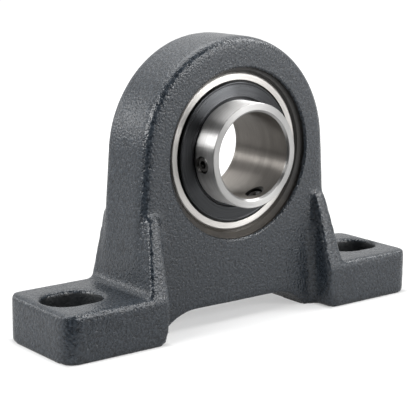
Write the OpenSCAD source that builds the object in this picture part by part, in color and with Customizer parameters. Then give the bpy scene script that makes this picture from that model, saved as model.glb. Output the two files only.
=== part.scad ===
// Cast iron pillow block with a raised shaft centre and a wide inner ring insert bearing.
// All lengths are millimetres. The origin lies on the mounting plane, under the bearing centre.
// X runs along the base, the collar side faces -Y, and Z points up.

/* [Insert bearing] */
// Bore of the inner ring, which is the shaft size
shaft_d = 45; // [44:0.5:46]
// Spherical outside diameter of the outer ring
outer_ring_d = 85; // [84.5:0.5:86]
// Width of the outer ring
outer_ring_w = 22; // [21:0.5:22.5]
// Outside diameter of the inner ring and its collar
inner_ring_d = 54.4; // [54:0.2:54.8]
// Reach of the collar in front of the bearing centre
collar_reach = 27; // [25:0.5:31]
// Reach of the inner ring behind the bearing centre
tail_reach = 17; // [16.5:0.5:19]
// Diameter of each ball
ball_d = 11.5; // [11.3:0.1:11.7]
// Diameter of the circle that the ball centres run on
pitch_d = 62.6; // [62.4:0.2:62.8]

/* [Set screws] */
// Thread diameter of the set screws
screw_d = 8; // [6:1:8]
// Distance of the set screws in front of the bearing centre
screw_reach = 18; // [17:0.5:19]
// Angle of the first set screw, clockwise from the top as seen from the collar side
screw_angle_a = -97; // [-110:1:-80]
// Angle of the second set screw, measured the same way
screw_angle_b = 160; // [140:1:170]

/* [Housing body] */
// Height of the shaft centre above the mounting plane
centre_h = 90; // [88:1:94]
// Outside radius of the arch round the bearing
arch_r = 60; // [59:0.5:62]
// Depth of the body in front of the bearing centre
body_front = 14.5; // [14:0.5:17]
// Depth of the body behind the bearing centre
body_back = 21; // [17:0.5:22]
// Radius that rolls the rim of the body over on both faces
rim_r = 5; // [4:0.5:6]
// Outward lean of the two side walls, in degrees
side_lean = 4; // [3:0.5:5]
// Diameter of the opening that shows the bearing in each face
opening_d = 91; // [90:0.5:93]

/* [Base and feet] */
// Overall length of the base
base_l = 230; // [226:1:236]
// Overall depth of the feet
base_w = 57; // [54:1:60]
// Thickness of the feet
foot_h = 25; // [23:0.5:27]
// Clear length between the two feet under the body
foot_gap = 109.4; // [107:0.2:111]
// Height of the relief under the body
relief_h = 10; // [8:0.5:11]
// Height at which the ribs run out into the faces of the body
rib_top_h = 62; // [60:1:64]
// Distance between the two bolt slots
slot_pitch = 188; // [184:1:190]
// Overall length of each bolt slot
slot_l = 32; // [28:1:33]
// Width of each bolt slot
slot_w = 24; // [20:1:26]

/* [Hidden] */
$fn = 96;

// Small overlap that joins neighbouring shapes, and the reach of a cut past a surface
eps = 0.01;
past = 1;

// Depth by which curved faces dip into flat ones, so that they meet at an angle, and the
// smaller one by which the legs lie inside the arch where both are tangent
sink = 0.2;
seam_sink = 0.02;

// Running clearance, radially, between parts that turn or swivel in each other
run_gap = 0.05;

// Radii and half widths that follow from the driving dimensions
shaft_r = shaft_d / 2;
sphere_r = outer_ring_d / 2;
inner_r = inner_ring_d / 2;
pitch_r = pitch_d / 2;
ball_r = ball_d / 2;
ring_half = outer_ring_w / 2;
foot_half = base_w / 2;
base_half = base_l / 2;
gap_half = foot_gap / 2;

// Number of balls, which is also the number of ball nodes below
ball_count = 10;

// Raceways are grooves of a slightly larger radius than the balls
groove_r = ball_r * 1.04;

// Inside of the outer ring: the land beside the raceway and the recess for each seal
outer_land_r = 35.4;
seal_seat_r = 37.4;
seal_seat_depth = 3.6;
ring_chamfer = 0.6;
bore_chamfer = 1.0;
collar_chamfer = 0.6;

// Pressed cage: two halves riveted together between the balls
cage_t = 0.8;
cage_w = 5.4;
cage_pocket_gap = 0.12;
rivet_r = 0.9;
rivet_hole_gap = 0.02;
rivet_head_r = 1.5;
rivet_head_t = 0.6;

// Seals: a steel shell pressed into the outer ring, with a moulded lip on its inner edge
shell_t = 0.7;
shell_y = ring_half - 1.8;
shell_flange_l = 1.6;
shell_inner_r = 30.2;
lip_t = 1.5;
lip_outer_r = 31.4;
lip_gap = 0.05;

// Slingers: pressed onto the inner ring just outside the seals, with a rolled edge
slinger_t = 0.7;
slinger_y = ring_half + 0.4;
slinger_bead_r = 0.75;
slinger_r = 36.0;
slinger_hub_l = 2.0;
slinger_cone = 0.8;

// Set screws and their tapped holes
screw_gap = 0.05;
screw_tip_r = shaft_r + 0.05;
screw_head_r = inner_r - 0.6;
screw_l = screw_head_r - screw_tip_r;
hex_across = screw_d / 2;
hex_depth = screw_l * 0.6;
cup_r = screw_d * 0.3;
cup_depth = 0.8;
screw_chamfer = 0.7;
tapped_chamfer = 0.8;

// Spherical seat of the housing and the two notches that let the bearing in from behind
seat_r = sphere_r + run_gap;
seat_half = ring_half + 0.6;
opening_r = opening_d / 2;
opening_chamfer = 1.2;
notch_w = outer_ring_w + 0.8;

// Feet
corner_r = 8;
foot_edge_r = 2.5;
foot_fillet_r = 5;
slot_chamfer = 1.0;
slot_travel = slot_l - slot_w;

// Relief under the body: flat in the middle, with an arc down to a narrow land at each foot
relief_r = 25;
relief_land = 1;
relief_flat = gap_half - relief_land - sqrt(relief_r * relief_r - pow(relief_r - relief_h, 2));

// Half width of the body at a height above the mounting plane
function side_x(z) = arch_r / cos(side_lean) + (centre_h - z) * tan(side_lean);

// Ribs that brace the faces of the body to the feet. Their inner sides lie in one plane with
// the inner ends of the feet. A rib starts a little inside the body and above the height where
// it shows.
rib_w = (side_x(0) - gap_half) * cos(side_lean);
rib_depth = 16;
rib_edge_r = rim_r;
rib_fillet_r = 5;
rib_run_in = 5;
rib_start_h = rib_top_h + rib_run_in;
rib_drop = (rib_start_h - foot_h + foot_edge_r) / cos(side_lean);
fillet_set_back = 0.3;
corner_set_back = 3;

// Radius of a concave sweep that drops by one distance while it reaches out by another
function sweep_r(drop, reach) = (drop * drop + reach * reach) / (2 * reach);

// Colours as the parts show them
iron = [0.27, 0.29, 0.31];
ground_steel = [0.83, 0.82, 0.80];
bright_steel = [0.75, 0.75, 0.74];
dark_steel = [0.20, 0.20, 0.21];
black_rubber = [0.08, 0.08, 0.08];
pressed_steel = [0.62, 0.63, 0.64];

// Places children at the bearing centre, with their Z axis along the shaft towards the tail
module on_shaft() {
    translate([0, 0, centre_h]) rotate([-90, 0, 0]) children();
}

// Turns a section round the shaft: distance from the axis along X, depth along Y
module revolve() {
    on_shaft() rotate_extrude() children();
}

// Draws children in front of the bearing centre, or mirrored behind it
module face_side(front) {
    if (front) mirror([0, 1]) children();
    else children();
}

// Repeats children at both ends of the base
module both_ends() {
    children();
    mirror([1, 0, 0]) children();
}

// Section through the rim of the body: radius along X, forward depth along Y. It reaches
// across the middle by the lap given.
module rim_section(radius, lap) {
    depth = body_front + body_back;
    translate([-lap, -body_back]) square([radius - rim_r + lap, depth]);
    translate([-lap, -body_back + rim_r]) square([radius + lap, depth - 2 * rim_r]);
    translate([radius - rim_r, body_front - rim_r]) circle(rim_r);
    translate([radius - rim_r, -body_back + rim_r]) circle(rim_r);
}

// The arch is the rim section turned round the shaft. Its lower half is lost in the legs.
module arch() {
    revolve() mirror([0, 1]) rim_section(arch_r, 0);
}

// Places children in a plane square to the side wall, at the height of the shaft, to be
// extruded down along the wall
module down_the_wall() {
    translate([0, 0, centre_h]) rotate([0, -side_lean, 0]) rotate([180, 0, 0])
        linear_extrude((centre_h + foot_h) / cos(side_lean)) children();
}

// A leg carries the same section straight down past the base, leaning outwards. The legs at
// the two ends lap in the middle and make the whole lower body.
module leg() {
    down_the_wall() rim_section(arch_r - seam_sink, centre_h * tan(side_lean) + 2 * past);
}

// Plan of a foot with rounded outer corners, from inside the side wall outwards
module foot_plan() {
    start = side_x(foot_h) - past;
    translate([start, -foot_half]) square([base_half - corner_r - start, base_w]);
    translate([start, -foot_half + corner_r]) square([base_half - start, base_w - 2 * corner_r]);
    for (side = [-1, 1])
        translate([base_half - corner_r, side * (foot_half - corner_r)]) circle(corner_r);
}

// End view of a bar whose two upper edges are rounded
module rounded_bar(width, height, r) {
    translate([-width / 2, -past]) square([width, height - r + past]);
    translate([-width / 2 + r, -past]) square([width - 2 * r, height + past]);
    for (side = [-1, 1]) translate([side * (width / 2 - r), height - r]) circle(r);
}

// A foot is its plan and its leaning inner end, cut by a bar with rounded upper edges along X
// and another along Y. The inner end is left long for the cut that it shares with the ribs.
module foot() {
    intersection() {
        union() {
            translate([0, 0, -past]) linear_extrude(foot_h + 2 * past) foot_plan();
            down_the_wall() translate([arch_r - rib_w - past, -foot_half - past])
                square([rib_w + past, base_w + 2 * past]);
        }
        rotate([90, 0, 90]) linear_extrude(base_half + past)
            rounded_bar(base_w, foot_h, foot_edge_r);
        translate([0, foot_half + past, 0]) rotate([90, 0, 0]) linear_extrude(base_w + 2 * past)
            rounded_bar(base_l, foot_h, foot_edge_r);
    }
}

// Fillet between the top of a foot and the leaning side wall, over the depth given
module foot_cove(front, back) {
    r = foot_fillet_r;
    centre = [side_x(foot_h) + r * tan(45 - side_lean / 2) - sink, foot_h + r - sink];
    translate([0, back, 0]) rotate([90, 0, 0]) linear_extrude(front + back) difference() {
        polygon([[centre[0], foot_h - past], [side_x(foot_h) - 2 * past, foot_h - past],
            [side_x(centre[1]) - 2 * past, centre[1]], centre]);
        translate(centre) circle(r);
    }
}

// Section of a rib: distance from the centre of its sweep along X, width along Y
module rib_section(r, w) {
    translate([r + rib_edge_r, 0]) square([rib_depth - rib_edge_r, w]);
    translate([r, 0]) square([rib_edge_r + eps, w - rib_edge_r]);
    translate([r + rib_edge_r, w - rib_edge_r]) circle(rib_edge_r);
}

// Radius of the sweep that takes a rib from a face of the body to the edge of the foot
function rib_sweep_r(face) = sweep_r(rib_drop, foot_half - face);

// Sweeps children from the front face of the body, down and out to the edge of the foot.
// The section lies on the outer side of the sweep. Its Y axis points outwards along X and
// starts a little inside the inner side of the rib.
module rib_sweep(face) {
    r = rib_sweep_r(face);
    angle = asin(rib_drop / r);
    translate([side_x(rib_start_h), sink - face - r, rib_start_h]) rotate([0, -side_lean, 0])
        translate([-rib_w - past, 0, 0]) rotate([90, 0, 90]) rotate([0, 0, -angle])
            rotate_extrude(angle = angle) children();
}

// A rib on the front face, for a body whose front face stands at the depth given
module rib(face) {
    rib_sweep(face) rib_section(rib_sweep_r(face), rib_w + past - sink);
}

// A foot with its two ribs, whose inner sides one leaning cut makes flush
module braced_foot() {
    difference() {
        union() {
            foot();
            rib(body_front);
            mirror([0, 1, 0]) rib(body_back);
        }
        down_the_wall() translate([arch_r - rib_w - base_w, -base_w])
            square([base_w, 2 * base_w]);
    }
}

// Fillet between a rib and the face of the body. It runs out at the top as the rib does, and
// goes on down between the face and the inner end of the foot.
module rib_fillet(face) {
    r = rib_fillet_r;
    l = (rib_start_h + past) / cos(side_lean);
    intersection() {
        translate([side_x(rib_start_h), -face, rib_start_h]) rotate([0, -side_lean, 0])
            translate([-rib_w, 0, -l]) difference() {
                translate([-r, -r, 0]) cube([r + past, r + past, l]);
                translate([sink - r, sink - r, -past]) cylinder(r = r, h = l + 2 * past);
            }
        union() {
            rib_sweep(face) translate([rib_sweep_r(face) + fillet_set_back, -2 * r])
                square([rib_depth, 2 * r + rib_w / 2]);
            translate([0, -foot_half, -2 * past]) cube([base_half, foot_half, foot_h]);
        }
    }
}

// Fillet between the outer side of a rib and the top of the foot
module rib_foot_fillet(face) {
    intersection() {
        foot_cove(foot_half, 0);
        rib_sweep(face) translate([rib_sweep_r(face) + corner_set_back, rib_w - 2 * past])
            square([rib_depth, 3 * foot_fillet_r]);
    }
}

// The fillets of the front rib at one end of the base
module fillets(face) {
    rib_fillet(face);
    rib_foot_fillet(face);
}

// Everything below the mounting plane
module below_base() {
    depth = 2 * foot_h;
    translate([-base_half - past, -base_half, -depth]) cube([base_l + 2 * past, base_l, depth]);
}

// Relief that is left open under the body
module relief() {
    translate([0, foot_half + past, 0]) rotate([90, 0, 0]) linear_extrude(base_w + 2 * past) {
        translate([-relief_flat, -past]) square([2 * relief_flat, relief_h + past]);
        for (side = [-1, 1]) intersection() {
            translate([side * relief_flat, relief_h - relief_r]) circle(relief_r);
            translate([side > 0 ? relief_flat - past : -gap_half - past, -past])
                square([gap_half - relief_flat + 2 * past, relief_h + past]);
        }
    }
}

// Bolt slot with a chamfered upper edge
module slot_cut() {
    r = slot_w / 2;
    edge_h = foot_h - slot_chamfer;
    for (side = [-1, 1]) translate([slot_pitch / 2 + side * slot_travel / 2, 0, 0]) {
        translate([0, 0, -past]) cylinder(r = r, h = foot_h + 2 * past);
        translate([0, 0, edge_h])
            cylinder(r1 = r, r2 = r + slot_chamfer + past, h = slot_chamfer + past);
    }
    translate([(slot_pitch - slot_travel) / 2, 0, 0]) rotate([90, 0, 90])
        linear_extrude(slot_travel) {
            translate([-r, -past]) square([slot_w, foot_h + 2 * past]);
            polygon([[-r, edge_h], [r, edge_h], [r + slot_chamfer + past, foot_h + past],
                [-r - slot_chamfer - past, foot_h + past]]);
        }
}

// Spherical seat, the wider opening in both faces, and the loading notches at the back
module seat_cut() {
    mouth = opening_r - opening_chamfer;
    on_shaft() {
        intersection() {
            sphere(seat_r);
            cylinder(r = seat_r + past, h = 2 * seat_half + 2 * eps, center = true);
        }
        intersection() {
            cylinder(r = seat_r, h = body_back + past);
            translate([-seat_r - past, -notch_w / 2, 0])
                cube([2 * seat_r + 2 * past, notch_w, body_back + past]);
        }
    }
    revolve() {
        translate([0, seat_half]) square([mouth, body_back]);
        translate([0, -seat_half - body_front]) square([mouth, body_front]);
        polygon([[0, body_back - opening_chamfer], [mouth, body_back - opening_chamfer],
            [opening_r + past, body_back + past], [0, body_back + past]]);
        polygon([[0, opening_chamfer - body_front], [mouth, opening_chamfer - body_front],
            [opening_r + past, -body_front - past], [0, -body_front - past]]);
    }
}

module housing() {
    color(iron) difference() {
        union() {
            arch();
            both_ends() {
                leg();
                braced_foot();
                foot_cove(body_front - rim_r, body_back - rim_r);
                fillets(body_front);
                mirror([0, 1, 0]) fillets(body_back);
            }
        }
        below_base();
        relief();
        both_ends() slot_cut();
        seat_cut();
    }
}

// Section of the outer ring: a spherical outside, a raceway and a stepped recess for each seal
module outer_ring_section() {
    groove_x = pitch_r + ball_r + run_gap - groove_r;
    face_r = sqrt(sphere_r * sphere_r - ring_half * ring_half);
    difference() {
        intersection() {
            circle(sphere_r);
            translate([outer_land_r, -ring_half]) square([sphere_r, outer_ring_w]);
        }
        translate([groove_x, 0]) circle(groove_r);
        for (side = [-1, 1]) {
            translate([outer_land_r - past, side * (ring_half - seal_seat_depth / 2)])
                square([2 * (seal_seat_r - outer_land_r + past), seal_seat_depth + 2 * eps],
                    center = true);
            polygon([[face_r - ring_chamfer, side * (ring_half + eps)],
                [face_r + past, side * (ring_half + eps)],
                [face_r + past, side * (ring_half - ring_chamfer)],
                [face_r + 0.1, side * (ring_half - ring_chamfer)]]);
        }
    }
}

module outer_ring() {
    color(ground_steel) revolve() outer_ring_section();
}

// Section of the inner ring: a long plain bore, a raceway, and chamfered ends
module inner_ring_section() {
    groove_x = pitch_r - ball_r - run_gap + groove_r;
    difference() {
        polygon([[shaft_r, bore_chamfer - collar_reach], [shaft_r + bore_chamfer, -collar_reach],
            [inner_r - collar_chamfer, -collar_reach], [inner_r, collar_chamfer - collar_reach],
            [inner_r, tail_reach - collar_chamfer], [inner_r - collar_chamfer, tail_reach],
            [shaft_r + bore_chamfer, tail_reach], [shaft_r, tail_reach - bore_chamfer]]);
        translate([groove_x, 0]) circle(groove_r);
    }
}

// Places children with their Z axis along a set screw, pointing away from the shaft
module at_screw(angle) {
    translate([0, -screw_reach, centre_h]) rotate([0, angle, 0]) children();
}

// Tapped hole through the collar, countersunk on the outside
module tapped_hole() {
    r = screw_d / 2 + screw_gap;
    translate([0, 0, shaft_r - 2 * past]) cylinder(r = r, h = inner_r - shaft_r + 4 * past);
    translate([0, 0, inner_r - tapped_chamfer])
        cylinder(r1 = r, r2 = r + tapped_chamfer + past, h = tapped_chamfer + past);
}

module inner_ring() {
    color(bright_steel) difference() {
        revolve() inner_ring_section();
        at_screw(screw_angle_a) tapped_hole();
        at_screw(screw_angle_b) tapped_hole();
    }
}

// Set screw with a hexagon socket and a cup point, standing along Z
module set_screw() {
    r = screw_d / 2;
    color(dark_steel) difference() {
        rotate_extrude() polygon([[0, screw_tip_r], [r - screw_chamfer, screw_tip_r],
            [r, screw_tip_r + screw_chamfer], [r, screw_head_r - screw_chamfer],
            [r - screw_chamfer, screw_head_r], [0, screw_head_r]]);
        translate([0, 0, screw_head_r - hex_depth])
            cylinder(d = hex_across / cos(30), h = hex_depth + past, $fn = 6);
        translate([0, 0, screw_tip_r - eps]) cylinder(r1 = cup_r, r2 = 0.2, h = cup_depth);
    }
}

module set_screw_a() {
    at_screw(screw_angle_a) set_screw();
}

module set_screw_b() {
    at_screw(screw_angle_b) set_screw();
}

// Places children at a point on the ball circle, counted in ball spacings from the top
module at_pitch(step) {
    on_shaft() rotate([0, 0, step * 360 / ball_count - 90]) translate([pitch_r, 0, 0]) children();
}

module ball(number) {
    color(ground_steel) at_pitch(number - 1) sphere(ball_r);
}

// One half of the cage: a flat ring with a pocket pressed round each ball
module cage_half(front) {
    pocket_r = ball_r + cage_pocket_gap;
    inner = pitch_r - cage_w / 2;
    deep = pocket_r + cage_t;
    color(pressed_steel) difference() {
        union() {
            revolve() face_side(front) translate([inner, 0]) square([cage_w, cage_t]);
            intersection() {
                revolve() face_side(front) translate([inner, 0]) square([cage_w, deep + past]);
                union() for (i = [0 : ball_count - 1]) at_pitch(i) sphere(deep);
            }
        }
        for (i = [0 : ball_count - 1]) {
            at_pitch(i) sphere(pocket_r);
            at_pitch(i + 0.5)
                cylinder(r = rivet_r + rivet_hole_gap, h = 4 * cage_t, center = true);
        }
    }
}

module cage_front() {
    cage_half(true);
}

module cage_back() {
    cage_half(false);
}

// Rivets that hold the two halves of the cage together
module cage_rivets() {
    color(pressed_steel) for (i = [0 : ball_count - 1]) at_pitch(i + 0.5) {
        cylinder(r = rivet_r, h = 2 * cage_t + 2 * eps, center = true);
        for (side = [-1, 1])
            translate([0, 0, side * (cage_t + rivet_head_t / 2)])
                cylinder(r = rivet_head_r, h = rivet_head_t, center = true);
    }
}

// Section of a seal shell: a flange in the outer ring and a disc towards the inner ring
module shell_section() {
    translate([shell_inner_r, shell_y]) square([seal_seat_r - shell_inner_r, shell_t]);
    translate([seal_seat_r - shell_t, shell_y - shell_flange_l + eps])
        square([shell_t, shell_flange_l]);
}

module seal_shell(front) {
    color(pressed_steel) revolve() face_side(front) shell_section();
}

module seal_shell_front() {
    seal_shell(true);
}

module seal_shell_back() {
    seal_shell(false);
}

// The lip grips both sides of the shell's inner edge and wipes the inner ring
module seal_lip(front) {
    lip_y = shell_y + shell_t / 2 - lip_t / 2;
    color(black_rubber) revolve() face_side(front) difference() {
        translate([inner_r + lip_gap, lip_y]) square([lip_outer_r - inner_r - lip_gap, lip_t]);
        translate([shell_inner_r, shell_y]) square([lip_outer_r, shell_t]);
    }
}

module seal_lip_front() {
    seal_lip(true);
}

module seal_lip_back() {
    seal_lip(false);
}

// Section of a slinger: a hub on the inner ring, a coned disc, and a rolled outer edge
module slinger_section() {
    cone_start = inner_r + slinger_hub_l;
    translate([inner_r, slinger_y]) square([slinger_t, slinger_hub_l]);
    polygon([[inner_r, slinger_y], [cone_start, slinger_y],
        [slinger_r, slinger_y - slinger_cone + slinger_t],
        [slinger_r, slinger_y - slinger_cone + 2 * slinger_t],
        [cone_start, slinger_y + slinger_t], [inner_r, slinger_y + slinger_t]]);
    translate([slinger_r, slinger_y - slinger_cone + 1.5 * slinger_t]) circle(slinger_bead_r);
}

module slinger(front) {
    color(dark_steel) revolve() face_side(front) slinger_section();
}

module slinger_front() {
    slinger(true);
}

module slinger_back() {
    slinger(false);
}

housing();
outer_ring();
inner_ring();
ball(1);  // ball_01
ball(2);  // ball_02
ball(3);  // ball_03
ball(4);  // ball_04
ball(5);  // ball_05
ball(6);  // ball_06
ball(7);  // ball_07
ball(8);  // ball_08
ball(9);  // ball_09
ball(10);  // ball_10
cage_front();
cage_back();
cage_rivets();
seal_shell_front();
seal_shell_back();
seal_lip_front();
seal_lip_back();
slinger_front();
slinger_back();
set_screw_a();
set_screw_b();
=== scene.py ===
# %% [markdown]
# A pillow block bearing carries a turning shaft above a machine frame. It has a rough cast iron
# housing under paint, and a precise ground steel bearing in its middle. The contrast between
# the two is the whole look, so each gets its own way of modelling and its own finishes.
#
# The engineering model comes first. It fixes where every piece is, and the pieces made here
# are fitted round its measures.

# %% Load the engineering model
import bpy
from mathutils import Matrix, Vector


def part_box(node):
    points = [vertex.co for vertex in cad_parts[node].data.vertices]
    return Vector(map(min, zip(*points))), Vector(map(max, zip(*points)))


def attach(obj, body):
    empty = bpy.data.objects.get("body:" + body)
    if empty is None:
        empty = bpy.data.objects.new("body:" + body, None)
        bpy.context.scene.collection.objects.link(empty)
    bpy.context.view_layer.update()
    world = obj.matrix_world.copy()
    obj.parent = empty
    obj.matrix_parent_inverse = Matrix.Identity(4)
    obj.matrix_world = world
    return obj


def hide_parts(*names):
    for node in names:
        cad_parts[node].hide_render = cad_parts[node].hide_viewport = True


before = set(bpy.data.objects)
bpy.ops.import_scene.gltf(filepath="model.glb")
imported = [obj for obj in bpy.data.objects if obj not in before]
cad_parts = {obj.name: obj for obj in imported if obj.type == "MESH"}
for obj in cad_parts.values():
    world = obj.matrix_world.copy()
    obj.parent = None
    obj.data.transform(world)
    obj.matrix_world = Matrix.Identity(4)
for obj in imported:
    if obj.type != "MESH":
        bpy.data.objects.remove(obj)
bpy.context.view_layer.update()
print("pieces in the frame:", len(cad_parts))

# %% Modules and units
from math import asin, atan2, ceil, cos, hypot, pi, radians, sin, sqrt, tau

import bmesh
import bpy
from mathutils import Matrix, Vector, noise

mm = 0.001
scene = bpy.context.scene

# %% [markdown]
# The rings, the slingers, the seals and the cage are centred on the shaft, which runs along Y.
# Its height is read from the outer ring, so the pieces made here can't drift away from the
# engineering model.

# %% Measures that the pieces share
ring_low, ring_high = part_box("outer_ring")
inner_low, inner_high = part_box("inner_ring")
body_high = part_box("housing")[1]
shaft_height = (ring_low.z + ring_high.z) / 2
sphere_r = (ring_high.x - ring_low.x) / 2
ring_half = (ring_high.y - ring_low.y) / 2
inner_r = (inner_high.x - inner_low.x) / 2
shaft_r = 22.5 * mm
to_shaft = Matrix.Translation((0, 0, shaft_height))
print("shaft height in mm:", round(shaft_height / mm, 2))

# %% [markdown]
# The camera stands low and well to the left of the front, as a catalogue photographer would
# place it. A long lens from 0.7 metres away keeps the upright edges nearly parallel. Turning
# it in three simple steps, first its slight roll, then its tilt, then its turn about the
# upright axis, is easier to read and to adjust than three mixed angles.

# %% Camera
camera_place = Vector((-446.4, -557.0, 211.3)) * mm
camera_turn = radians(-38.15)
camera_tilt = radians(90 - 12.11)
camera_roll = radians(0.43)
lens_length = 119.3

camera = bpy.data.objects.new("catalogue_camera", bpy.data.cameras.new("catalogue_camera"))
camera.data.lens = lens_length
camera.matrix_world = (Matrix.Translation(camera_place) @ Matrix.Rotation(camera_turn, 4, "Z")
    @ Matrix.Rotation(camera_tilt, 4, "X") @ Matrix.Rotation(camera_roll, 4, "Z"))
scene.collection.objects.link(camera)
scene.camera = camera
print("camera distance in mm:", round((camera_place - to_shaft.translation).length / mm))

# %% [markdown]
# Blender's own building blocks stay the same for all pieces: a mesh becomes an object, and
# one shape is cut from another. The cut uses the exact solver, because the pieces share
# axes and planes, and it hands the cutter's material to the faces that it leaves.

# %% Helpers for meshes
def as_mesh(name, bm, materials=()):
    """A mesh from a bmesh, which is freed."""
    mesh = bpy.data.meshes.new(name)
    bm.to_mesh(mesh)
    bm.free()
    for material in materials:
        mesh.materials.append(material)
    return mesh


def as_object(name, bm, materials=()):
    """An object in the scene, with a mesh from a bmesh."""
    piece = bpy.data.objects.new(name, as_mesh(name, bm, materials))
    scene.collection.objects.link(piece)
    return piece


def combine(piece, tool, operation="DIFFERENCE"):
    """Cuts the tool from the piece, or keeps what they share, and removes the tool."""
    cut = piece.modifiers.new("Cut", "BOOLEAN")
    cut.operation = operation
    cut.solver = "EXACT"
    cut.material_mode = "TRANSFER"
    cut.object = tool
    seen = bpy.context.evaluated_depsgraph_get()
    result = bpy.data.meshes.new_from_object(piece.evaluated_get(seen))
    piece.modifiers.remove(cut)
    piece.data = result
    bpy.data.objects.remove(tool)


def soften(piece, angle):
    """Smooth shading that stays sharp where faces meet at more than an angle."""
    piece.data.shade_smooth()
    piece.data.set_sharp_from_angle(angle=angle)


def weigh_normals(piece):
    """Lets large flat faces keep flat shading next to their rounded edges."""
    weigh = piece.modifiers.new("Weighted normals", "WEIGHTED_NORMAL")
    weigh.keep_sharp = True


# %% [markdown]
# Finishes are node materials, and all of them start alike: a Principled shader, and noise
# that reads the place on the object in metres, so that a pattern has a real size. These
# helpers only save repeating the same lines. Each finish below still sets its own numbers.

# %% Helpers for materials
class Finish:
    """A node material with its Principled shader, and short ways to add nodes."""

    def __init__(self, name, metallic=0.0, roughness=0.5):
        self.material = bpy.data.materials.new(name)
        self.material.use_nodes = True
        self.nodes = self.material.node_tree.nodes
        self.links = self.material.node_tree.links
        self.shader = self.nodes["Principled BSDF"]
        self.shader.inputs["Metallic"].default_value = metallic
        self.shader.inputs["Roughness"].default_value = roughness
        self.place = self.node("ShaderNodeTexCoord").outputs["Object"]

    def node(self, kind, settings=None, **inputs):
        """A node with its settings, and with its inputs linked or given a value."""
        new = self.nodes.new(kind)
        for key, value in (settings or {}).items():
            setattr(new, key, value)
        for key, value in inputs.items():
            socket = new.inputs[key.replace("_", " ")]
            if isinstance(value, bpy.types.NodeSocket):
                self.links.new(value, socket)
            else:
                socket.default_value = value
        return new

    def noise(self, size, detail=2.0, roughness=0.5, vector=None):
        """Noise whose blotches are about as large as the size, in metres."""
        made = self.node("ShaderNodeTexNoise", Vector=vector or self.place, Scale=1 / size,
            Detail=detail, Roughness=roughness)
        return made.outputs["Fac"]

    def spread(self, value, low, high, start=0.3, end=0.7):
        """Maps a value onto a range, held at both ends."""
        made = self.node("ShaderNodeMapRange", Value=value)
        made.inputs["From Min"].default_value = start
        made.inputs["From Max"].default_value = end
        made.inputs["To Min"].default_value = low
        made.inputs["To Max"].default_value = high
        return made.outputs["Result"]

    def tones(self, value, dark, light, start=0.3, end=0.7):
        """A colour between two tones."""
        ramp = self.node("ShaderNodeValToRGB", Fac=value)
        ramp.color_ramp.elements[0].position = start
        ramp.color_ramp.elements[1].position = end
        ramp.color_ramp.elements[0].color = (*dark, 1)
        ramp.color_ramp.elements[1].color = (*light, 1)
        return ramp.outputs["Color"]

    def math(self, operation, *values):
        """One step of arithmetic on sockets and numbers."""
        made = self.node("ShaderNodeMath", {"operation": operation})
        for socket, value in zip(made.inputs, values):
            if isinstance(value, bpy.types.NodeSocket):
                self.links.new(value, socket)
            else:
                socket.default_value = value
        return made.outputs["Value"]

    def reach(self, direction):
        """How far a point lies along a direction, in metres."""
        made = self.node("ShaderNodeVectorMath", {"operation": "DOT_PRODUCT"}, Vector=self.place)
        made.inputs[1].default_value = direction
        return made.outputs["Value"]

    def bump(self, height, depth, strength=1.0, under=None):
        """Relief of a real depth in metres, on top of other relief."""
        made = self.node("ShaderNodeBump", Height=height, Distance=depth, Strength=strength)
        if under:
            self.links.new(under, made.inputs["Normal"])
        return made.outputs["Normal"]

    def feed(self, **sockets):
        """Links values to the shader."""
        for key, value in sockets.items():
            self.links.new(value, self.shader.inputs[key.replace("_", " ")])


# %% [markdown]
# The paint is a dark blue grey enamel, sprayed straight onto sand-cast iron. The grain of
# the sand shows through it as pebbles about a millimetre wide, and they break each highlight
# into glints. Two sizes of noise make this relief. The colour follows the larger one, because
# dust and wear lighten the crests and leave the pits dark, and a third noise changes the gloss
# from place to place, as a single coat of paint does on a porous casting. The relief is only
# shading here, because pebbles this small would need millions of faces.

# %% Painted cast iron
def painted_iron():
    paint = Finish("painted cast iron", roughness=0.3)
    pebbles = paint.noise(1.3 * mm, detail=1.5, roughness=0.5)
    sand = paint.noise(0.7 * mm, detail=1)
    relief = paint.bump(pebbles, 0.4 * mm)
    relief = paint.bump(sand, 0.12 * mm, under=relief)
    mottle = paint.tones(pebbles, (0.005, 0.0075, 0.011), (0.033, 0.041, 0.051))
    paint.feed(Base_Color=mottle, Normal=relief,
        Roughness=paint.spread(paint.noise(3 * mm, detail=3), 0.2, 0.32))
    return paint.material


paint = painted_iron()
print("nodes of the paint:", len(paint.node_tree.nodes))

# %% [markdown]
# The seat in the housing is turned after casting, so it is bare iron: darker and browner
# than steel, with the fine rings that the cutting tool leaves. The rings are noise that is
# stretched across the shaft and squeezed along it. The colour is darkened towards the top as
# painted shade, because the upper wall of the opening lies in shadow, so the brown only shows
# at the bottom of the opening.

# %% Machined cast iron
def machined_iron():
    iron = Finish("machined cast iron", metallic=0.2, roughness=0.45)
    squeezed = iron.node("ShaderNodeMapping", Vector=iron.place)
    squeezed.inputs["Scale"].default_value = (0.15, 5, 0.15)
    rings = iron.noise(1.2 * mm, detail=3, vector=squeezed.outputs["Vector"])
    pores = iron.noise(0.8 * mm, detail=3)
    # Painted shade: the colour darkens to near black towards the top of the opening.
    painted_top_shade = iron.spread(iron.reach((0, 0, 1)), 1, 0.1, start=shaft_height - 40 * mm,
        end=shaft_height - 15 * mm)
    colour = iron.tones(iron.math("MULTIPLY", rings, painted_top_shade), (0.012, 0.011, 0.010),
        (0.046, 0.038, 0.029), start=0.05, end=0.7)
    iron.feed(Base_Color=colour, Normal=iron.bump(rings, 0.04 * mm,
        under=iron.bump(pores, 0.05 * mm)), Roughness=iron.spread(pores, 0.35, 0.6))
    return iron.material


bare_iron = machined_iron()
print("nodes of the bare iron:", len(bare_iron.node_tree.nodes))

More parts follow.
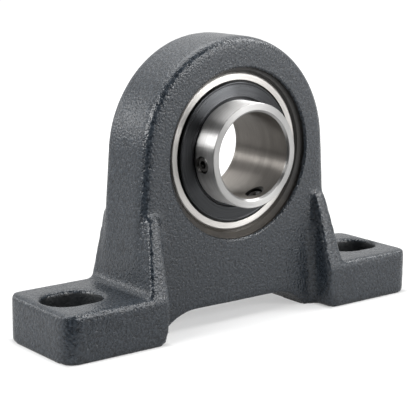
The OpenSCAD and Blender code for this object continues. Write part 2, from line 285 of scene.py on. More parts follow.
# %% [markdown]
# The rings of the bearing are ground on a spindle. Each surface carries thousands of fine
# grooves that run round the shaft, and they smear every reflection across themselves. The
# pieces get a UV map for this: U runs along the section and V round the shaft, in metres and
# in turns. The shader's tangent then follows U, and the noise for the grooves is squeezed
# along U. Five finishes come from it: the ring and the collar are the brightest, the faced
# ends are duller, the bore is warmer, and the slingers have a satin charcoal coat.

# %% Turned and ground steel
turning_map = "turning"
round_slowness = 0.02


def turned_steel(name, dark, light, roughness, groove=0.35 * mm, depth=0.006 * mm, smear=0.9):
    steel = Finish(name, metallic=1.0, roughness=roughness)
    steel.shader.inputs["Anisotropic"].default_value = smear
    mapped = steel.node("ShaderNodeUVMap", {"uv_map": turning_map}).outputs["UV"]
    along = steel.node("ShaderNodeSeparateXYZ", Vector=mapped).outputs["X"]
    around = steel.node("ShaderNodeSeparateXYZ", Vector=steel.place)
    streak = steel.node("ShaderNodeCombineXYZ", X=along,
        Y=steel.math("MULTIPLY", around.outputs["X"], round_slowness),
        Z=steel.math("MULTIPLY", around.outputs["Z"], round_slowness))
    grooves = steel.noise(groove, detail=4, roughness=0.6, vector=streak.outputs["Vector"])
    bands = steel.noise(groove * 8, detail=2, vector=streak.outputs["Vector"])
    colour = steel.tones(grooves, dark, light, start=0.35, end=0.65)
    tangent = steel.node("ShaderNodeTangent", {"direction_type": "UV_MAP", "uv_map": turning_map})
    steel.feed(Base_Color=colour, Normal=steel.bump(grooves, depth),
        Roughness=steel.spread(bands, roughness * 0.9, roughness * 1.12),
        Tangent=tangent.outputs["Tangent"])
    return steel.material


ring_steel = turned_steel("ground ring steel", (0.46, 0.445, 0.425), (0.54, 0.525, 0.505), 0.32,
    depth=0.003 * mm)
collar_steel = turned_steel("ground collar steel", (0.46, 0.455, 0.45), (0.60, 0.595, 0.59), 0.4,
    smear=0.95)
faced_steel = turned_steel("faced steel", (0.32, 0.317, 0.313), (0.37, 0.367, 0.363), 0.33,
    depth=0.003 * mm)
bore_steel = turned_steel("bored steel", (0.17, 0.158, 0.145), (0.22, 0.206, 0.189), 0.38,
    groove=0.15 * mm, depth=0.002 * mm)
slinger_coat = turned_steel("charcoal slinger", (0.040, 0.041, 0.043), (0.058, 0.060, 0.063), 0.28,
    depth=0.003 * mm)
print("nodes of a turned finish:", len(ring_steel.node_tree.nodes))

# %% [markdown]
# The small parts have simpler finishes. The set screws are blackened, the seals are moulded
# rubber on a blackened shell, the cage is bright pressed sheet, and the balls are polished.
# Each still varies a little in colour and gloss, since nothing real is even. A near-black
# finish serves the blackened hex sockets and paints the shade inside the holes and the seal
# recess. Another paints the shade on the walls of the bolt slots, and it is made the same way.

# %% Finishes of the small parts
def mottled(name, dark, light, metallic, roughness, blotch=4 * mm, grain=0.4 * mm, depth=0.01 * mm):
    finish = Finish(name, metallic=metallic, roughness=roughness)
    blotches = finish.noise(blotch, detail=4)
    fine = finish.noise(grain, detail=3)
    finish.feed(Base_Color=finish.tones(blotches, dark, light), Normal=finish.bump(fine, depth),
        Roughness=finish.spread(blotches, roughness * 0.8, roughness * 1.2))
    return finish.material


black_oxide = mottled("black oxide", (0.035, 0.034, 0.033), (0.06, 0.058, 0.056), 0.4, 0.3)
# Near black: the blackened hex sockets, and painted shade in the holes and the seal recess.
black_and_painted_shade = mottled("blackened socket and painted shade", (0.02, 0.019, 0.018), (0.035, 0.034, 0.032), 1, 0.4)
# Near-black painted shade for the walls of the bolt slots.
painted_slot_shade = mottled("painted shade in the slots", (0.003, 0.004, 0.005), (0.007, 0.009, 0.011), 0, 0.5,
    grain=1.3 * mm, depth=0.3 * mm)
seal_rubber = mottled("moulded rubber", (0.012, 0.012, 0.012), (0.022, 0.022, 0.022), 0, 0.6)
shell_steel = mottled("blackened seal shell", (0.02, 0.02, 0.02), (0.035, 0.035, 0.035), 0.6, 0.45)
sheet_steel = mottled("pressed sheet steel", (0.42, 0.42, 0.42), (0.56, 0.56, 0.55), 1, 0.34)
ball_steel = mottled("polished ball steel", (0.62, 0.62, 0.63), (0.70, 0.70, 0.71), 1, 0.08,
    depth=0.001 * mm)
print("finishes:", len(bpy.data.materials))

# %% [markdown]
# Round pieces are drawn as half a section and spun round the shaft, as they would be turned
# on a lathe. The section is one flat face first, because a face lets bevel round its corners
# in the plane. Its outline is then all that is spun. While the outline is still flat, each of
# its points notes how far along it lies, and that becomes the U of the UV map.

# %% Turn a section round the shaft
def unbroken(values, period):
    """The values with small ones raised by a period, where they run across the seam."""
    if max(values) - min(values) < period / 2:
        return values
    return [value + period if value < period / 2 else value for value in values]


def turned_mesh(outline, steps=144):
    """A bmesh from corners of (radius, place along the shaft, optional rounding) in mm."""
    bm = bmesh.new()
    verts = [bm.verts.new((corner[0] * mm, corner[1] * mm, 0)) for corner in outline]
    bm.faces.new(verts)
    for vert, corner in zip(verts, outline):
        if len(corner) > 2:
            bmesh.ops.bevel(bm, geom=[vert], offset=corner[2] * mm, offset_type="OFFSET",
                segments=5, profile=0.5, affect="VERTICES", material=-1)
    along = bm.verts.layers.float.new("along")
    run = 0
    for loop in next(iter(bm.faces)).loops:
        loop.vert[along] = run
        run += loop.edge.calc_length()
    bmesh.ops.delete(bm, geom=bm.faces[:], context="FACES_ONLY")
    bmesh.ops.spin(bm, geom=bm.verts[:] + bm.edges[:], cent=(0, 0, 0), axis=(0, 1, 0),
        angle=tau, steps=steps, use_merge=True)
    bmesh.ops.recalc_face_normals(bm, faces=bm.faces)
    turning = bm.loops.layers.uv.new(turning_map)
    for face in bm.faces:
        us = unbroken([loop.vert[along] for loop in face.loops], run)
        vs = unbroken([atan2(loop.vert.co.z, loop.vert.co.x) / tau % 1 for loop in face.loops], 1)
        for loop, u, v in zip(face.loops, us, vs):
            loop[turning].uv = (u, v)
    bm.transform(to_shaft)
    return bm


def arc(centre, radius, start, end, points):
    """Points on an arc of a section, from one angle to another, in degrees."""
    turns = [radians(start + (end - start) * k / (points - 1)) for k in range(points)]
    return [(centre[0] + radius * cos(turn), centre[1] + radius * sin(turn)) for turn in turns]


def mirrored(corners):
    """The same corners on the other side of the bearing's middle, in reverse order."""
    return [(corner[0], -corner[1], *corner[2:]) for corner in reversed(corners)]


# %% [markdown]
# The housing is cast in sand, so it has no sharp edge anywhere: every corner is rounded by
# the pattern and the sand, and every inner corner is filled. Bevelling hundreds of edges by
# hand would look mechanical. A voxel remesh does what the foundry does. It turns the solid
# into one even skin, and smoothing that skin rounds all its edges alike.
#
# A few blocks are added before that, and the skin blends them in. The first ones go under the
# ends of the body, where they turn each end of the relief underneath into a broad arc.

# %% Land under each end of the body
front_face = -14.5
back_face = 21.0
land_x = 26
land_r = 30
land_z = -20
land_end = 56
land_top = 13
land_points = 13


def land(side):
    """A block under one end of the body, whose inner side is an arc of the relief."""
    lowest = asin(-land_z / land_r) * 180 / pi
    outline = arc((land_x, land_z), land_r, 90, lowest, land_points)
    outline += [(land_end, 0), (land_end, land_top), (land_x, land_top)]
    block = bmesh.new()
    face = block.faces.new([block.verts.new((side * x * mm, front_face * mm, z * mm))
        for x, z in outline])
    grown = bmesh.ops.extrude_face_region(block, geom=[face])["geom"]
    bmesh.ops.translate(block, vec=(0, (back_face - front_face) * mm, 0),
        verts=[part for part in grown if isinstance(part, bmesh.types.BMVert)])
    bmesh.ops.recalc_face_normals(block, faces=block.faces)
    return as_mesh("land", block)


print("lands start this far from the middle, in mm:", land_x)

# %% [markdown]
# The four ribs brace the body against the feet. Each gets a block that makes its crest run
# straight from the body to the edge of the foot, and that ends in a small step at the top.
# The block is a cube whose eight corners are moved, because it leans and widens with the rib.

# %% Crest of each rib
rib_top = 61
rib_bottom = 22
rib_step = 3
rib_run_in = 5
rib_root = 3
rib_top_sides = (51.6, 59.3)
rib_bottom_sides = (53.3, 65.2)
foot_edge = 28.2


def rib_crest(side, face):
    """A block that makes a rib stand out evenly, from the face of the body to the foot."""
    outwards = 1 if face > 0 else -1
    root = face - outwards * rib_root
    block = bmesh.new()
    bmesh.ops.create_cube(block, size=2)
    for vert in block.verts:
        outer_side, on_crest, at_top = (part > 0 for part in vert.co)
        if at_top:
            x = rib_top_sides[outer_side]
            y = face + outwards * rib_step if on_crest else root
            z = rib_top if on_crest else rib_top + rib_run_in
        else:
            x = rib_bottom_sides[outer_side]
            y = outwards * foot_edge if on_crest else root
            z = rib_bottom
        vert.co = Vector((side * x, y, z)) * mm
    bmesh.ops.recalc_face_normals(block, faces=block.faces)
    return as_mesh("rib_crest", block)


print("height of a rib in mm:", rib_top - rib_bottom)

# %% [markdown]
# The bearing seat is plugged as well, because it is machined later, from solid iron. Then all
# of it becomes one skin.

# %% Cast the housing as one skin
skin_cell = 1.0 * mm
plug_hole_r = 30
plug_r = 48
plug = [(plug_hole_r, front_face), (plug_r, front_face), (plug_r, back_face),
    (plug_hole_r, back_face)]

bm = turned_mesh(plug)
bm.from_mesh(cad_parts["housing"].data)
for side in (-1, 1):
    bm.from_mesh(land(side))
    for face in (front_face, back_face):
        bm.from_mesh(rib_crest(side, face))
bmesh.ops.remove_doubles(bm, verts=bm.verts, dist=0.001 * mm)
rough = as_object("rough_casting", bm)
skin = rough.modifiers.new("Skin", "REMESH")
skin.mode = "VOXEL"
skin.voxel_size = skin_cell
skin_mesh = bpy.data.meshes.new_from_object(
    rough.evaluated_get(bpy.context.evaluated_depsgraph_get()))
bpy.data.objects.remove(rough)
print("faces of the skin:", len(skin_mesh.polygons))

# %% [markdown]
# A real casting is also never quite flat. Its faces swell and sink by a few tenths of a
# millimetre where the sand gave way. Each point of the skin is moved a little inwards, by
# noise that depends only on its place, so the result is the same each time. Moving it
# inwards only keeps the casting inside its engineering size. The underside is milled flat,
# and the strip round the opening sinks evenly, so that the lip comes out round. The inner
# lower corners of the feet are smoothed more than the rest, because sand crumbles there.

# %% Smooth and roughen the skin
smoothings = 12
corner_smoothings = 24
corner_x = 54 * mm
corner_reach = 5 * mm
corner_height = 6 * mm
corner_gap = 1
even_sink = 0.1 * mm
even_r = 47 * mm
uneven_r = 56 * mm
swell_size = 22 * mm
swell_depth = 0.22 * mm
dimple_size = 4 * mm
dimple_depth = 0.07 * mm
milled = 0.6 * mm
facing_down = -0.85


def sunk(point):
    """How far the skin sinks at a point: broad swells, and small dimples on top of them."""
    swell = 0.5 + 0.5 * noise.noise(point / swell_size)
    dimple = 0.5 + 0.5 * noise.noise(point / dimple_size)
    from_shaft = hypot(point.x, point.z - shaft_height)
    uneven = min(max((from_shaft - even_r) / (uneven_r - even_r), 0), 1)
    return even_sink + (swell_depth * swell + dimple_depth * dimple - even_sink) * uneven


bm = bmesh.new()
bm.from_mesh(skin_mesh)
bpy.data.meshes.remove(skin_mesh)
foot_corners = []
for vert in bm.verts:
    before_body = vert.co.y < (front_face - corner_gap) * mm
    behind_body = vert.co.y > (back_face + corner_gap) * mm
    if (before_body or behind_body) and vert.co.z < corner_height:
        if abs(abs(vert.co.x) - corner_x) < corner_reach:
            foot_corners.append(vert)
for verts, times in ((bm.verts, smoothings), (foot_corners, corner_smoothings)):
    for smoothing in range(times):
        bmesh.ops.smooth_vert(bm, verts=verts, factor=0.5, use_axis_x=True, use_axis_y=True,
            use_axis_z=True)
bm.normal_update()
for vert in bm.verts:
    vert.co -= vert.normal * sunk(vert.co)
    if vert.co.z < milled and vert.normal.z < facing_down:
        vert.co.z = 0
housing = as_object("housing_casting", bm, [paint, bare_iron, painted_slot_shade])
print("points of the skin:", len(housing.data.vertices))

# %% [markdown]
# The walls of the bolt slots get a darker, duller coat that paints the shade inside them. They
# are the steep faces near the middle of each slot, below the top of the foot.

# %% Painted shade in the slots
slot_middle = 94 * mm
slot_reach = 17 * mm
slot_half = 12.6 * mm
slot_top = 23 * mm
steep = 0.5
shaded_slot_faces = 0
for face in housing.data.polygons:
    middle = face.center
    if abs(abs(middle.x) - slot_middle) < slot_reach and abs(middle.y) < slot_half:
        if middle.z < slot_top and abs(face.normal.z) < steep:
            # These faces get the painted shade of the slots.
            face.material_index = 2
            shaded_slot_faces += 1
print("faces with the duller coat:", shaded_slot_faces)

# %% [markdown]
# The opening has a rounded lip, where the paint is thick and a little lumpy, and a short wall
# down to a flat shoulder. The core that forms it shifts in the mould, so it is about a
# millimetre and a half off the shaft. Its cutter carries two materials, paint on the lip and
# bare iron on the rest, and the cut passes them on. A second cutter is true to the shaft: it
# chamfers the inner edge of the shoulder and turns the spherical seat that the bearing swivels
# in.

# %% Bore the seat
wall_r = 44.8
core_shift = Matrix.Translation((1.15 * mm, 0, -1.0 * mm))
lip = 1.4
lip_turn = 106
lump = 0.09 * mm
lump_size = 2.5 * mm
shoulder_rounding = 0.3
cutter_core_r = 25
cutter_steps = 288
seat_r = sphere_r / mm + 0.05
seat_half = ring_half / mm + 0.6
seat_end = 10.3
seat_turn = atan2(seat_end, sqrt(seat_r ** 2 - seat_end ** 2)) * 180 / pi
seat_chamfer_r = 42.9
seat_chamfer = 0.4
seat_points = 33
lip_points = 7
past = 2


def opening(face, outwards):
    """A cutter for the opening in one face of the body: a lumpy lip, a wall and a shoulder."""
    level = face - outwards * even_sink / mm
    shoulder = outwards * seat_half
    outside = face + outwards * past
    bm = turned_mesh([(cutter_core_r, outside), (wall_r + 2 * lip, outside)]
        + arc((wall_r + lip, level - outwards * lip), lip, outwards * lip_turn, outwards * 180,
            lip_points)
        + [(wall_r, shoulder, shoulder_rounding), (cutter_core_r, shoulder)],
        steps=cutter_steps)
    lip_start = (wall_r + 0.01) * mm
    for vert in bm.verts:
        out = Vector((vert.co.x, 0, vert.co.z - shaft_height))
        if out.length > lip_start:
            vert.co += out.normalized() * lump * noise.noise(vert.co / lump_size)
    cutter = as_object("opening_cutter", bm, [bare_iron, paint])
    for part in cutter.data.polygons:
        if hypot(part.center.x, part.center.z - shaft_height) > lip_start:
            part.material_index = 1
    cutter.data.transform(core_shift)
    return cutter


combine(housing, opening(front_face, -1))
combine(housing, opening(back_face, 1))
seat_mouth = -seat_half - seat_chamfer
seat = [(cutter_core_r, seat_mouth), (seat_chamfer_r, seat_mouth)]
seat += arc((0, 0), seat_r, -seat_turn, seat_turn, seat_points) + mirrored(seat)
combine(housing, as_object("seat_cutter", turned_mesh(seat, steps=cutter_steps), [bare_iron]))
print("radius of the spherical seat in mm:", round(seat_r, 2))

# %% [markdown]
# A ring as wide as this can't be pushed into a spherical seat. Two shallow notches at the
# back, left and right, let it in crosswise before it is swung into place. Their cutter is a
# short cylinder, cut flat above and below to the width of the ring.

# %% Loading notches
notch_r = (seat_r - 0.05) * mm
notch_half = ring_half + 0.4 * mm
notch_front = 1.5 * mm
notch_back = 12.6 * mm
notch_middle = (notch_front + notch_back) / 2
bm = bmesh.new()
bmesh.ops.create_cone(bm, cap_ends=True, segments=144, radius1=notch_r, radius2=notch_r,
    depth=notch_back - notch_front,
    matrix=Matrix.Translation((0, notch_middle, 0)) @ Matrix.Rotation(pi / 2, 4, "X"))
for side in (-1, 1):
    cut = bmesh.ops.bisect_plane(bm, geom=bm.verts[:] + bm.edges[:] + bm.faces[:],
        plane_co=(0, 0, side * notch_half), plane_no=(0, 0, side), clear_outer=True)
    bmesh.ops.edgeloop_fill(bm, edges=[part for part in cut["geom_cut"]
        if isinstance(part, bmesh.types.BMEdge)])
bmesh.ops.recalc_face_normals(bm, faces=bm.faces)
bm.transform(to_shaft)
combine(housing, as_object("notch_cutter", bm, [bare_iron]))
soften(housing, radians(35))
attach(housing, "housing")
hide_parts("housing")
print("housing faces:", len(housing.data.polygons))

# %% [markdown]
# The outer ring is barrel shaped outside, to swivel in the seat. Inside it has a groove for
# the balls, and a stepped recess at each end that holds a seal. Its flat end faces are the
# brightest surfaces of the bearing. A tiny rounding on each edge catches a line of light,
# which is what makes steel look like steel. The recess is coloured near black as painted
# shade, and it draws a dark line round the slinger.

# %% Outer ring
sphere = sphere_r / mm
half = ring_half / mm
pitch = 31.3
ball = 5.75
race_openness = 1.04
race_r = ball * race_openness
race_gap = 0.05
race_points = 17
crown_points = 21
outer_race = pitch + ball + race_gap - race_r
outer_land = 35.4
seal_seat = 37.4
recess = 3.6
ring_chamfer = 0.6
ring_face_r = sqrt(sphere ** 2 - half ** 2)
crown = half - ring_chamfer
crown_turn = atan2(crown, sqrt(sphere ** 2 - crown ** 2)) * 180 / pi
race_turn = atan2(sqrt(race_r ** 2 - (outer_land - outer_race) ** 2), outer_land - outer_race)
race_turn *= 180 / pi
ring_end = [(ring_face_r - ring_chamfer, half, 0.08), (seal_seat, half, 0.12),
    (seal_seat, half - recess, 0.2), (outer_land, half - recess, 0.3)]
outer_ring = as_object("outer_ring_ground", turned_mesh(
    arc((0, 0), sphere, -crown_turn, crown_turn, crown_points) + ring_end
    + arc((outer_race, 0), race_r, race_turn, -race_turn, race_points) + mirrored(ring_end)),
    [ring_steel, black_and_painted_shade])
# The recess faces get the near-black painted shade.
recess_r = (seal_seat + 0.02) * mm
for face in outer_ring.data.polygons:
    middle = face.center
    if abs(middle.y) > (half - recess - 0.1) * mm:
        if hypot(middle.x, middle.z - shaft_height) < recess_r:
            face.material_index = 1
soften(outer_ring, radians(50))
weigh_normals(outer_ring)
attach(outer_ring, "outer_ring")
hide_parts("outer_ring")
print("outer ring faces:", len(outer_ring.data.polygons))

# %% [markdown]
# The inner ring is one long sleeve whose front end is the collar. Its outside is ground
# bright, its end faces are turned, and its bore is only bored, so it is warmer and duller.

# %% Inner ring
inner = inner_r / mm
front_end = inner_low.y / mm
back_end = inner_high.y / mm
bore = shaft_r / mm
bore_chamfer = 1.1
collar_chamfer = 0.4
inner_race = pitch - ball - race_gap + race_r
inner_turn = atan2(sqrt(race_r ** 2 - (inner_race - inner) ** 2), inner_race - inner)
inner_turn *= 180 / pi
inner_ring = as_object("inner_ring_ground", turned_mesh(
    [(bore, front_end + bore_chamfer, 0.15), (bore + bore_chamfer, front_end, 0.1),
    (inner - collar_chamfer, front_end, 0.12), (inner, front_end + collar_chamfer, 0.12)]
    + arc((inner_race, 0), race_r, 180 + inner_turn, 180 - inner_turn, race_points)
    + [(inner, back_end - collar_chamfer, 0.12), (inner - collar_chamfer, back_end, 0.12),
    (bore + bore_chamfer, back_end, 0.1), (bore, back_end - bore_chamfer, 0.15)]),
    [collar_steel, bore_steel, black_and_painted_shade, faced_steel])
bored = (bore + 0.05) * mm
faced = 0.6
for face in inner_ring.data.polygons:
    middle = face.center
    if hypot(middle.x, middle.z - shaft_height) < bored:
        face.material_index = 1
    elif abs(face.normal.y) > faced:
        face.material_index = 3
print("inner ring faces:", len(inner_ring.data.polygons))

# %% [markdown]
# Two tapped holes for the set screws go through the collar, each with a small countersink
# outside and a chamfered mouth in the bore. The holes and the screws stand square to the
# shaft. Each is modelled upright and then turned about the shaft to its own angle. One cutter
# makes the whole hole, because cutters with a wall in common leave the solver a choice, and
# then the cut can come out differently from run to run.

# %% Tapped holes in the collar
screw_r = 4.0
screw_reach = 18.0
screw_angles = {"set_screw_a": -97, "set_screw_b": 160}
hole_r = screw_r + 0.05
countersink = 0.8
clear = 1
mouth_flare = 2.5
mouth_low = bore - 1.6
mouth_high = bore + 0.4


def at_screw(angle):
    """Takes a shape that stands on Z to a screw at an angle from the top."""
    return (to_shaft @ Matrix.Translation((0, -screw_reach * mm, 0))
        @ Matrix.Rotation(radians(angle), 4, "Y"))


def hole_cutter(steps=48):
    """A cutter on Z for a whole hole: its flared mouth, its wall and its countersink."""
    outline = [(hole_r + mouth_flare, mouth_low), (hole_r, mouth_high),
        (hole_r, inner - countersink), (hole_r + countersink + clear, inner + clear)]
    bm = bmesh.new()
    verts = [bm.verts.new((r * mm, 0, height * mm)) for r, height in outline]
    for first, second in zip(verts, verts[1:]):
        bm.edges.new((first, second))
    bmesh.ops.spin(bm, geom=bm.verts[:] + bm.edges[:], cent=(0, 0, 0), axis=(0, 0, 1),
        angle=tau, steps=steps, use_merge=True)
    bmesh.ops.holes_fill(bm, edges=bm.edges)
    bmesh.ops.recalc_face_normals(bm, faces=bm.faces)
    return bm


for angle in screw_angles.values():
    cutter = hole_cutter()
    cutter.transform(at_screw(angle))
    # The cut hands its near-black painted shade to the walls of each hole.
    combine(inner_ring, as_object("hole_cutter", cutter, [black_and_painted_shade]))
soften(inner_ring, radians(40))
weigh_normals(inner_ring)
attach(inner_ring, "inner_ring")
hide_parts("inner_ring")
print("inner ring faces with its holes:", len(inner_ring.data.polygons))

# %% [markdown]
# A slinger is a thin pressed disc that turns with the inner ring and throws water off the
# seal. It has a short hub on the ring, a coned disc, and an outer edge that is rolled over
# into a bead. In the section the bead is an arc that starts and ends at the disc.

# %% Slingers
slinger_y = half + 0.4
bead_r = 0.68
bead_place = (35.7, slinger_y - 0.05)
slinger_outline = [(inner, slinger_y), (28.6, slinger_y, 0.3), (29.4, slinger_y + 0.9, 0.3),
    (34.6, slinger_y - 0.35)]
slinger_outline += arc(bead_place, bead_r, 215, 505, 25)
slinger_outline += [(34.85, slinger_y + 0.35, 0.1), (28.9, slinger_y + 1.75, 0.35),
    (28.15, slinger_y + 0.8, 0.2), (inner, slinger_y + 0.7)]
for name, outline in (("slinger_front", mirrored(slinger_outline)),
        ("slinger_back", slinger_outline)):
    slinger = as_object(name + "_pressed", turned_mesh(outline), [slinger_coat])
    soften(slinger, radians(45))
    weigh_normals(slinger)
    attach(slinger, "inner_ring")
    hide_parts(name)
print("slinger faces:", len(slinger.data.polygons))

# %% [markdown]
# A set screw is a threaded bar with a hexagon socket at one end and a cup point at the other.
# The thread is a true helix: a zigzag of one tooth per turn is spun once round while it
# climbs by one pitch, so the end of each turn meets the start of the next. Planes cut the bar
# square one pitch beyond the screw at both ends, so that it shares no plane with the next
# shape. The bar keeps what it shares with a chamfered blank, and the hexagon and the cup are
# then cut as tools would cut them.

# %% Set screws
screw_pitch = 1.0
thread_depth = 0.55
screw_tip = bore + 1.0
screw_head = inner - 0.6
screw_chamfer = 0.7
hex_across = 4.0
hex_depth = 2.4
cup_r = 2.4
cup_depth = 0.8


def upright(radius_low, radius_high, low, high, segments=48):
    """A cone or cylinder on Z, between two heights, in mm."""
    bm = bmesh.new()
    bmesh.ops.create_cone(bm, cap_ends=True, segments=segments, radius1=radius_low * mm,
        radius2=radius_high * mm, depth=(high - low) * mm,
        matrix=Matrix.Translation((0, 0, (low + high) / 2 * mm)))
    return bm


def threaded_bar(low, high, steps=48):
    """A bar on Z with a helical thread, between two heights, in mm."""
    bm = bmesh.new()
    turns = ceil((high - low) / screw_pitch) + 3
    start = low - 2 * screw_pitch
    crest, root = screw_r, screw_r - thread_depth
    tooth = [(root, 0.0), (crest, 0.42), (crest, 0.54), (root, 0.96)]
    zigzag = [(r, start + (turn + part) * screw_pitch) for turn in range(turns)
        for r, part in tooth]
    verts = [bm.verts.new((r * mm, 0, height * mm)) for r, height in zigzag]
    for first, second in zip(verts, verts[1:]):
        bm.edges.new((first, second))
    bmesh.ops.spin(bm, geom=bm.verts[:] + bm.edges[:], cent=(0, 0, 0), axis=(0, 0, 1),
        dvec=(0, 0, screw_pitch * mm / steps), angle=tau, steps=steps)
    bmesh.ops.remove_doubles(bm, verts=bm.verts, dist=0.001 * mm)
    for height, up in ((low, -1), (high, 1)):
        cut = bmesh.ops.bisect_plane(bm, geom=bm.verts[:] + bm.edges[:] + bm.faces[:],
            plane_co=(0, 0, height * mm), plane_no=(0, 0, up), clear_outer=True)
        bmesh.ops.edgeloop_fill(bm, edges=[part for part in cut["geom_cut"]
            if isinstance(part, bmesh.types.BMEdge)])
    bmesh.ops.recalc_face_normals(bm, faces=bm.faces)
    return bm


for name, angle in screw_angles.items():
    bar = threaded_bar(screw_tip - screw_pitch, screw_head + screw_pitch)
    screw = as_object(name + "_threaded", bar, [black_oxide, black_and_painted_shade])
    blank = upright(screw_r + 0.01, screw_r + 0.01, screw_tip, screw_head, segments=96)
    rims = [edge for edge in blank.edges if abs(edge.verts[0].co.z - edge.verts[1].co.z) < mm / 100]
    bmesh.ops.bevel(blank, geom=rims, offset=screw_chamfer * mm, offset_type="OFFSET", segments=1,
        profile=0.5, affect="EDGES", material=-1)
    combine(screw, as_object("blank", blank, [black_oxide]), "INTERSECT")
    socket_r = hex_across / 2 / cos(pi / 6)
    combine(screw, as_object("hex_key", upright(socket_r, socket_r, screw_head - hex_depth,
        screw_head + 1, segments=6), [black_and_painted_shade]))
    combine(screw, as_object("cup", upright(cup_r + 0.3, 0.2, screw_tip - 0.1,
        screw_tip + cup_depth), [black_oxide]))
    screw.data.transform(at_screw(angle))
    soften(screw, radians(30))
    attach(screw, name)
    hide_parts(name)
print("set screw faces:", len(screw.data.polygons))

# %% [markdown]
# The balls, the cage with its rivets, and the seals keep their engineering shapes, which are
# already those of the real pieces. They only need their finishes.

# %% Finishes of the pieces inside
inside = {"ball_": ball_steel, "cage_": sheet_steel, "seal_shell": shell_steel,
    "seal_lip": seal_rubber}
finished = 0
for name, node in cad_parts.items():
    for start, finish in inside.items():
        if name.startswith(start):
            node.data.materials.clear()
            node.data.materials.append(finish)
            finished += 1
print("pieces finished inside:", finished)

# %% [markdown]
# The bearing stands on a white sweep in soft, even light. What the camera and the reflections
# see of the floor is brighter than the plain light that it sends back, so that it is pure
# white wherever no shadow falls. A Light Path node tells the kinds of ray apart.

# %% White sweep
floor_size = 8
plain_white = (0.5, 0.5, 0.5)
unlit_grey = (0.03, 0.03, 0.03)
seen_rays = ("Is Camera Ray", "Is Glossy Ray", "Is Transmission Ray")


def seen_directly(tree, kinds):
    """One for rays of the given kinds and nought for light, in a node tree."""
    rays = tree.nodes.new("ShaderNodeLightPath")
    total = rays.outputs[kinds[0]]
    for kind in kinds[1:]:
        more = tree.nodes.new("ShaderNodeMath")
        more.operation = "MAXIMUM"
        tree.links.new(total, more.inputs[0])
        tree.links.new(rays.outputs[kind], more.inputs[1])
        total = more.outputs["Value"]
    return total


sweep = Finish("white sweep", roughness=0.9)
sweep.shader.inputs["Specular IOR Level"].default_value = 0
sweep.shader.inputs["Emission Color"].default_value = (1, 1, 1, 1)
bm = bmesh.new()
bmesh.ops.create_grid(bm, x_segments=1, y_segments=1, size=floor_size / 2)
as_object("floor", bm, [sweep.material])
print("floor size in metres:", floor_size)

# %% [markdown]
# The reflections need more shape than an endless white floor gives. In them only, the floor
# is darkest in a wedge towards the lens, where a real studio is dark too, and every edge that
# faces the camera mirrors it as a dark line. The wedge opens with the distance from the
# bearing. It begins a hand's width from the middle, where a small table would end.

# %% Dark wedge in the reflections
table_end = 0.11
wedge_apex = 0.03
wedge_spread = 0.84
wedge_edge = (-0.01, 0.03)

to_lens = Vector((camera_place.x, camera_place.y, 0)).normalized()
ahead = sweep.reach(to_lens)
aside = sweep.math("ABSOLUTE", sweep.reach(Vector((-to_lens.y, to_lens.x, 0))))
opened = sweep.math("MULTIPLY", sweep.math("ADD", ahead, wedge_apex), wedge_spread)
wedge = sweep.math("MINIMUM", sweep.math("SUBTRACT", opened, aside),
    sweep.math("SUBTRACT", ahead, table_end))
mirrored_ray = seen_directly(sweep.material.node_tree, ("Is Glossy Ray",))
lit = sweep.math("SUBTRACT", 1, sweep.math("MULTIPLY", mirrored_ray,
    sweep.spread(wedge, 0, 1, start=wedge_edge[0], end=wedge_edge[1])))
sweep.feed(Base_Color=sweep.tones(lit, unlit_grey, plain_white, start=0, end=1))
print("the wedge begins this far from the shaft, in metres:", table_end)

# %% [markdown]
# The glow stops under the feet and fades a little under the body, which paints the shadow
# that falls there. It also grows with the distance, which keeps a soft shadow near the bearing.

# %% Glow of the sweep
near_edge = 0.3
far_edge = 1.0
near_glow = 0.5
foot_start = 54.7 * mm
foot_middle = (foot_start + body_high.x) / 2
foot_fade = (-6 * mm, 2 * mm)
body_fade = (10 * mm, 45 * mm)
under_body = 0.9

along_foot = sweep.math("ABSOLUTE", sweep.math("SUBTRACT",
    sweep.math("ABSOLUTE", sweep.reach((1, 0, 0))), foot_middle))
past_foot = sweep.math("MAXIMUM", sweep.math("SUBTRACT", along_foot, body_high.x - foot_middle),
    sweep.math("SUBTRACT", sweep.math("ABSOLUTE", sweep.reach((0, 1, 0))), body_high.y))
past_body = sweep.math("MAXIMUM", sweep.math("ABSOLUTE", sweep.reach((0, 1, 0))),
    sweep.math("SUBTRACT", sweep.math("ABSOLUTE", sweep.reach((1, 0, 0))), foot_start))
# Painted shadow: no glow under the feet, and less under the body.
painted_shadow_factor = sweep.math("MULTIPLY",
    sweep.spread(past_foot, 0, 1, start=foot_fade[0], end=foot_fade[1]),
    sweep.spread(past_body, under_body, 1, start=body_fade[0], end=body_fade[1]))
distance = sweep.node("ShaderNodeVectorMath", {"operation": "LENGTH"}, Vector=sweep.place)
glow = sweep.spread(distance.outputs["Value"], near_glow, 1, start=near_edge, end=far_edge)
shown = sweep.math("MULTIPLY", glow, seen_directly(sweep.material.node_tree, seen_rays))
shown = sweep.math("MULTIPLY", shown, painted_shadow_factor)
print("the glow is full this far from the shaft, in metres:", far_edge)

# %% [markdown]
# In the reflections the glow is dimmer close to the bearing and towards the back left, so that
# the left walls come out darker than the front. The camera itself sees none of this, because
# the factor is one for every other ray.

# %% Uneven glow in the reflections
towards_front_right = (0.62, -0.78, 0)
back_left_level = 0.25
front_right_level = 1.3
side_reach = 0.4
close_level = 0.5
close_range = (0.1, 0.5)

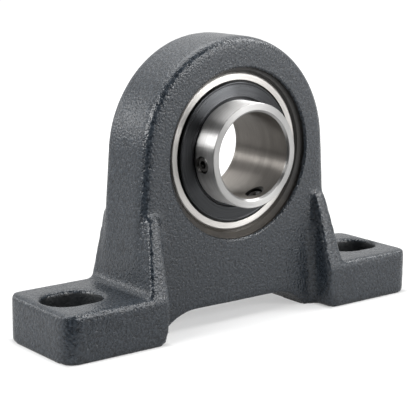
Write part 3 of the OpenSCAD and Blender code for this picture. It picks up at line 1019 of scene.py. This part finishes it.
brighter_side = sweep.spread(sweep.reach(towards_front_right), back_left_level,
    front_right_level, start=-side_reach, end=side_reach)
brighter_side = sweep.math("MULTIPLY", brighter_side, sweep.spread(distance.outputs["Value"],
    close_level, 1, start=close_range[0], end=close_range[1]))
uneven_glow = sweep.math("ADD", 1,
    sweep.math("MULTIPLY", mirrored_ray, sweep.math("SUBTRACT", brighter_side, 1)))
shown = sweep.math("MULTIPLY", sweep.math("MULTIPLY", shown, uneven_glow), lit)
sweep.links.new(shown, sweep.shader.inputs["Emission Strength"])
print("nodes of the sweep:", len(sweep.nodes))

# %% [markdown]
# A white studio surrounds the bearing. Its walls give only a little plain light, but the
# camera and the reflections see them white. The one exception is the side behind the camera,
# which the reflections see dark, as it is in a real studio.

# %% White studio all round
world = bpy.data.worlds.new("studio")
scene.world = world
world.use_nodes = True
tree = world.node_tree
background = tree.nodes["Background"]
plain_level = 0.1
dark_level = 0.06
dark_towards = Vector((-0.45, -0.7, 0.55)).normalized()
direction = tree.nodes.new("ShaderNodeTexCoord").outputs["Generated"]
towards = tree.nodes.new("ShaderNodeVectorMath")
towards.operation = "DOT_PRODUCT"
towards.inputs[1].default_value = dark_towards
tree.links.new(direction, towards.inputs[0])
dark_side = tree.nodes.new("ShaderNodeMapRange")
dark_side.interpolation_type = "SMOOTHSTEP"
dark_side.inputs["From Min"].default_value = 0.3
dark_side.inputs["From Max"].default_value = 0.7
dark_side.inputs["To Min"].default_value = 1
dark_side.inputs["To Max"].default_value = dark_level
tree.links.new(towards.outputs["Value"], dark_side.inputs["Value"])
mirror_level = tree.nodes.new("ShaderNodeMix")
mirror_level.inputs["A"].default_value = 1
tree.links.new(seen_directly(tree, ("Is Glossy Ray",)), mirror_level.inputs["Factor"])
tree.links.new(dark_side.outputs["Result"], mirror_level.inputs["B"])
level = tree.nodes.new("ShaderNodeMix")
level.inputs["A"].default_value = plain_level
tree.links.new(seen_directly(tree, seen_rays), level.inputs["Factor"])
tree.links.new(mirror_level.outputs["Result"], level.inputs["B"])
tree.links.new(level.outputs["Result"], background.inputs["Strength"])
background.inputs["Color"].default_value = (1, 1, 1, 1)
print("plain level of the studio:", plain_level)

# %% [markdown]
# Soft boxes give the light its shape. The large one above does most of the work. The two at
# the front right and the one at the right light the rounded edges and the ring faces, the one
# on the left puts the bright patch on the collar, and the one at the back left puts the bright
# band in the bore.

# %% Soft boxes
def softbox(name, place, aim, size, power):
    """A rectangular area light at a place, in metres, that points at another."""
    lamp = bpy.data.objects.new(name, bpy.data.lights.new(name, "AREA"))
    lamp.data.shape = "RECTANGLE"
    lamp.data.size, lamp.data.size_y = size
    lamp.data.energy = power
    lamp.location = place
    lamp.rotation_euler = (Vector(aim) - Vector(place)).to_track_quat("-Z", "Y").to_euler()
    scene.collection.objects.link(lamp)


bearing_middle = (0, 0, 0.09)
softbox("box_above", (0, 0.25, 0.9), (0, 0, 0.1), (0.9, 0.7), 7)
softbox("box_front_right", (0.3, -0.82, 0.5), bearing_middle, (0.6, 0.26), 5)
softbox("box_low_right", (0.75, -0.95, 0.28), bearing_middle, (0.5, 0.25), 1.8)
softbox("box_left", (-0.7, -0.05, 0.42), bearing_middle, (0.35, 0.3), 5)
softbox("box_back_left", (-0.62, 0.75, 0.36), bearing_middle, (0.5, 0.2), 1.5)
softbox("box_right", (0.6, -0.2, 0.75), bearing_middle, (0.35, 0.35), 4.5)
scene.view_settings.view_transform = "Standard"
print("soft boxes:", len(bpy.data.lights))
